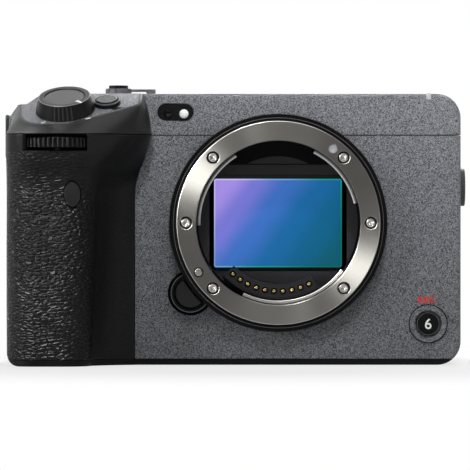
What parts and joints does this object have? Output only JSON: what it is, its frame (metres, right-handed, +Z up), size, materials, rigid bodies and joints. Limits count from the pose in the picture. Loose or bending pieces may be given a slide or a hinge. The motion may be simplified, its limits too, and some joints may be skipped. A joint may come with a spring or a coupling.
{
  "type": "cinema camera body",
  "caption": "Compact cinema camera body with a grip, bayonet lens mount, sensor, dials, buttons, accessory shoe and threads, doors and a swing-out monitor.",
  "frame": {"origin": "centre of the lens mount's flange face, on the lens axis", "axes": "-Y along the lens axis out of the mount, +Z up, +X to the right seen from the front"},
  "size_m": [0.1296, 0.077, 0.0793],
  "materials": {
    "cover_paint": "fine speckled grey paint",
    "black_plastic": "satin black moulding",
    "grip_leather": "pebbled black grip covering",
    "door_rubber": "matt rubber",
    "black_metal": "black anodised",
    "flange_steel": "turned finish",
    "screw_steel": "plain",
    "frame_alloy": "as cast",
    "contact_gold": "gold plated",
    "clear_glass": "polished",
    "lamp_lens": "clear lens",
    "sensor_chip": "iridescent",
    "circuit_board": "solder resist"
  },
  "bodies": {
    "root": {"front_cover": "cover_paint", "top_cover": "cover_paint", "rear_cover": "cover_paint", "base_plate": "black_plastic", "grip_core": "black_plastic", "grip_shoulder": "black_plastic", "light_baffle": "black_plastic", "contact_block": "black_plastic", "shutter_frame": "black_plastic", "fan_housing": "black_plastic", "card_slots": "black_plastic", "battery": "black_plastic", "sockets": "black_plastic", "grip_skin": "grip_leather", "thumb_rest": "door_rubber", "mount_bezel": "black_metal", "lens_mount_ring": "flange_steel", "mount_screws": "screw_steel", "case_screws": "screw_steel", "thread_bushes": "screw_steel", "accessory_shoe": "screw_steel", "chassis": "frame_alloy", "stabiliser_base": "frame_alloy", "heat_sink": "frame_alloy", "contact_pins": "contact_gold", "front_window": "clear_glass", "lamp_lenses": "lamp_lens", "main_board": "circuit_board"},
    "shutter_button": {"shutter_button": "black_metal"},
    "zoom_lever": {"shutter_lever": "black_metal"},
    "front_dial": {"front_dial": "black_metal"},
    "custom_button": {"custom_button": "black_plastic"},
    "front_record_button": {"front_record_button": "black_plastic"},
    "top_record_button": {"top_record_button": "black_plastic"},
    "sensitivity_button": {"sensitivity_button": "black_plastic"},
    "power_lever": {"power_lever": "black_metal"},
    "lever_cap": {"lever_cap_button": "black_metal"},
    "rear_dial": {"rear_dial": "black_metal"},
    "gimbal": {"joystick_gimbal": "black_plastic"},
    "joystick": {"joystick": "black_plastic"},
    "control_wheel": {"control_wheel": "black_metal"},
    "centre_button": {"centre_button": "black_plastic"},
    "menu_button": {"menu_button": "black_plastic"},
    "release_button": {"release_button": "black_plastic"},
    "lock_pin": {"lock_pin": "flange_steel"},
    "shutter_first": {"shutter_blade_first": "black_metal"},
    "shutter_second": {"shutter_blade_second": "black_metal"},
    "sensor_frame": {"sensor_frame": "frame_alloy"},
    "sensor_stage": {"sensor_stage": "frame_alloy", "image_sensor": "sensor_chip", "sensor_glass": "clear_glass"},
    "fan": {"fan_rotor": "black_plastic"},
    "card_door": {"card_door": "door_rubber"},
    "jack_door": {"jack_door": "door_rubber"},
    "data_door": {"data_door": "door_rubber"},
    "battery_door": {"battery_door": "black_plastic"},
    "battery_latch": {"battery_latch": "black_plastic"},
    "monitor": {"monitor_arm": "black_plastic", "monitor_case": "black_plastic", "monitor_glass": "clear_glass"}
  },
  "joints": [
    {"name": "shutter_press", "type": "slide", "parent": "root", "child": "shutter_button", "axis": [0.0637, 0.4095, -0.9101], "range_m": [0, 0.0008], "stiffness_N_per_m": 1500},
    {"name": "zoom_turn", "type": "hinge", "parent": "root", "child": "zoom_lever", "pos_m": [-0.0594, -0.0065, 0.03126], "axis": [-0.0637, -0.4095, 0.9101], "range_deg": [-20, 20], "stiffness_Nm_per_rad": 0.02},
    {"name": "front_dial_spin", "type": "hinge", "parent": "root", "child": "front_dial", "pos_m": [-0.0616, -0.009, 0.0222], "axis": [0, 0, 1], "continuous": true},
    {"name": "custom_press", "type": "slide", "parent": "root", "child": "custom_button", "axis": [0.0637, 0.4095, -0.9101], "range_m": [0, 0.0005], "stiffness_N_per_m": 1500},
    {"name": "front_record_press", "type": "slide", "parent": "root", "child": "front_record_button", "axis": [0, 1, 0], "range_m": [0, 0.0005], "stiffness_N_per_m": 1500},
    {"name": "top_record_press", "type": "slide", "parent": "root", "child": "top_record_button", "axis": [0, 0, -1], "range_m": [0, 0.0004], "stiffness_N_per_m": 1500},
    {"name": "sensitivity_press", "type": "slide", "parent": "root", "child": "sensitivity_button", "axis": [0, 0, -1], "range_m": [0, 0.0004], "stiffness_N_per_m": 1500},
    {"name": "power_turn", "type": "hinge", "parent": "root", "child": "power_lever", "pos_m": [-0.0455, 0.03, 0.037], "axis": [0, 0, 1], "range_deg": [0, 30]},
    {"name": "lever_cap_press", "type": "slide", "parent": "power_lever", "child": "lever_cap", "axis": [0, 0, -1], "range_m": [0, 0.0005], "stiffness_N_per_m": 1500},
    {"name": "rear_dial_spin", "type": "hinge", "parent": "root", "child": "rear_dial", "pos_m": [-0.058, 0.0414, 0.03], "axis": [0, 0, 1], "continuous": true},
    {"name": "stick_up_down", "type": "hinge", "parent": "root", "child": "gimbal", "pos_m": [-0.044, 0.0465, 0.012], "axis": [1, 0, 0], "range_deg": [-12, 12], "stiffness_Nm_per_rad": 0.01},
    {"name": "stick_side", "type": "hinge", "parent": "gimbal", "child": "joystick", "pos_m": [-0.044, 0.0465, 0.012], "axis": [0, 0, 1], "range_deg": [-12, 12], "stiffness_Nm_per_rad": 0.01},
    {"name": "wheel_spin", "type": "hinge", "parent": "root", "child": "control_wheel", "pos_m": [-0.044, 0.05, -0.009], "axis": [0, 1, 0], "continuous": true},
    {"name": "centre_press", "type": "slide", "parent": "root", "child": "centre_button", "axis": [0, -1, 0], "range_m": [0, 0.0004], "stiffness_N_per_m": 1500},
    {"name": "menu_press", "type": "slide", "parent": "root", "child": "menu_button", "axis": [0, -1, 0], "range_m": [0, 0.0004], "stiffness_N_per_m": 1500},
    {"name": "release_press", "type": "slide", "parent": "root", "child": "release_button", "axis": [0, 1, 0], "range_m": [0, 0.0012], "stiffness_N_per_m": 1500},
    {"name": "lock_pin_slide", "type": "slide", "parent": "root", "child": "lock_pin", "axis": [0, 1, 0], "range_m": [0, 0.0012]},
    {"name": "shutter_run", "type": "slide", "parent": "root", "child": "shutter_first", "axis": [0, 0, -1], "range_m": [0, 0.0272]},
    {"name": "shutter_follow", "type": "slide", "parent": "root", "child": "shutter_second", "axis": [0, 0, -1], "range_m": [0, 0.0136]},
    {"name": "stage_side", "type": "slide", "parent": "root", "child": "sensor_frame", "axis": [1, 0, 0], "range_m": [-0.0015, 0.0015], "stiffness_N_per_m": 3000},
    {"name": "stage_height", "type": "slide", "parent": "sensor_frame", "child": "sensor_stage", "axis": [0, 0, 1], "range_m": [-0.0015, 0.0015], "stiffness_N_per_m": 3000},
    {"name": "fan_spin", "type": "hinge", "parent": "root", "child": "fan", "pos_m": [0.036, 0.038, 0.003], "axis": [0, 1, 0], "continuous": true},
    {"name": "card_door_open", "type": "hinge", "parent": "root", "child": "card_door", "pos_m": [-0.07505, 0.0391, -0.0125], "axis": [0, 0, 1], "range_deg": [0, 100]},
    {"name": "jack_door_open", "type": "hinge", "parent": "root", "child": "jack_door", "pos_m": [0.05055, 0.0241, -0.02725], "axis": [0, 0, 1], "range_deg": [0, 100]},
    {"name": "data_door_open", "type": "hinge", "parent": "root", "child": "data_door", "pos_m": [0.05055, 0.0241, -0.0085], "axis": [0, 0, 1], "range_deg": [0, 100]},
    {"name": "battery_door_open", "type": "hinge", "parent": "root", "child": "battery_door", "pos_m": [-0.06, 0.03705, -0.03915], "axis": [1, 0, 0], "range_deg": [0, 95]},
    {"name": "latch_slide", "type": "slide", "parent": "battery_door", "child": "battery_latch", "axis": [0, 1, 0], "range_m": [0, 0.002]},
    {"name": "monitor_swing", "type": "hinge", "parent": "root", "child": "monitor", "pos_m": [0.0474, 0.053, 0], "axis": [0, 0, -1], "range_deg": [0, 176]}
  ],
  "couplings": [
    {"joint": "lock_pin_slide", "follows": "release_press", "ratio": 1},
    {"joint": "shutter_follow", "follows": "shutter_run", "ratio": 0.5}
  ]
}
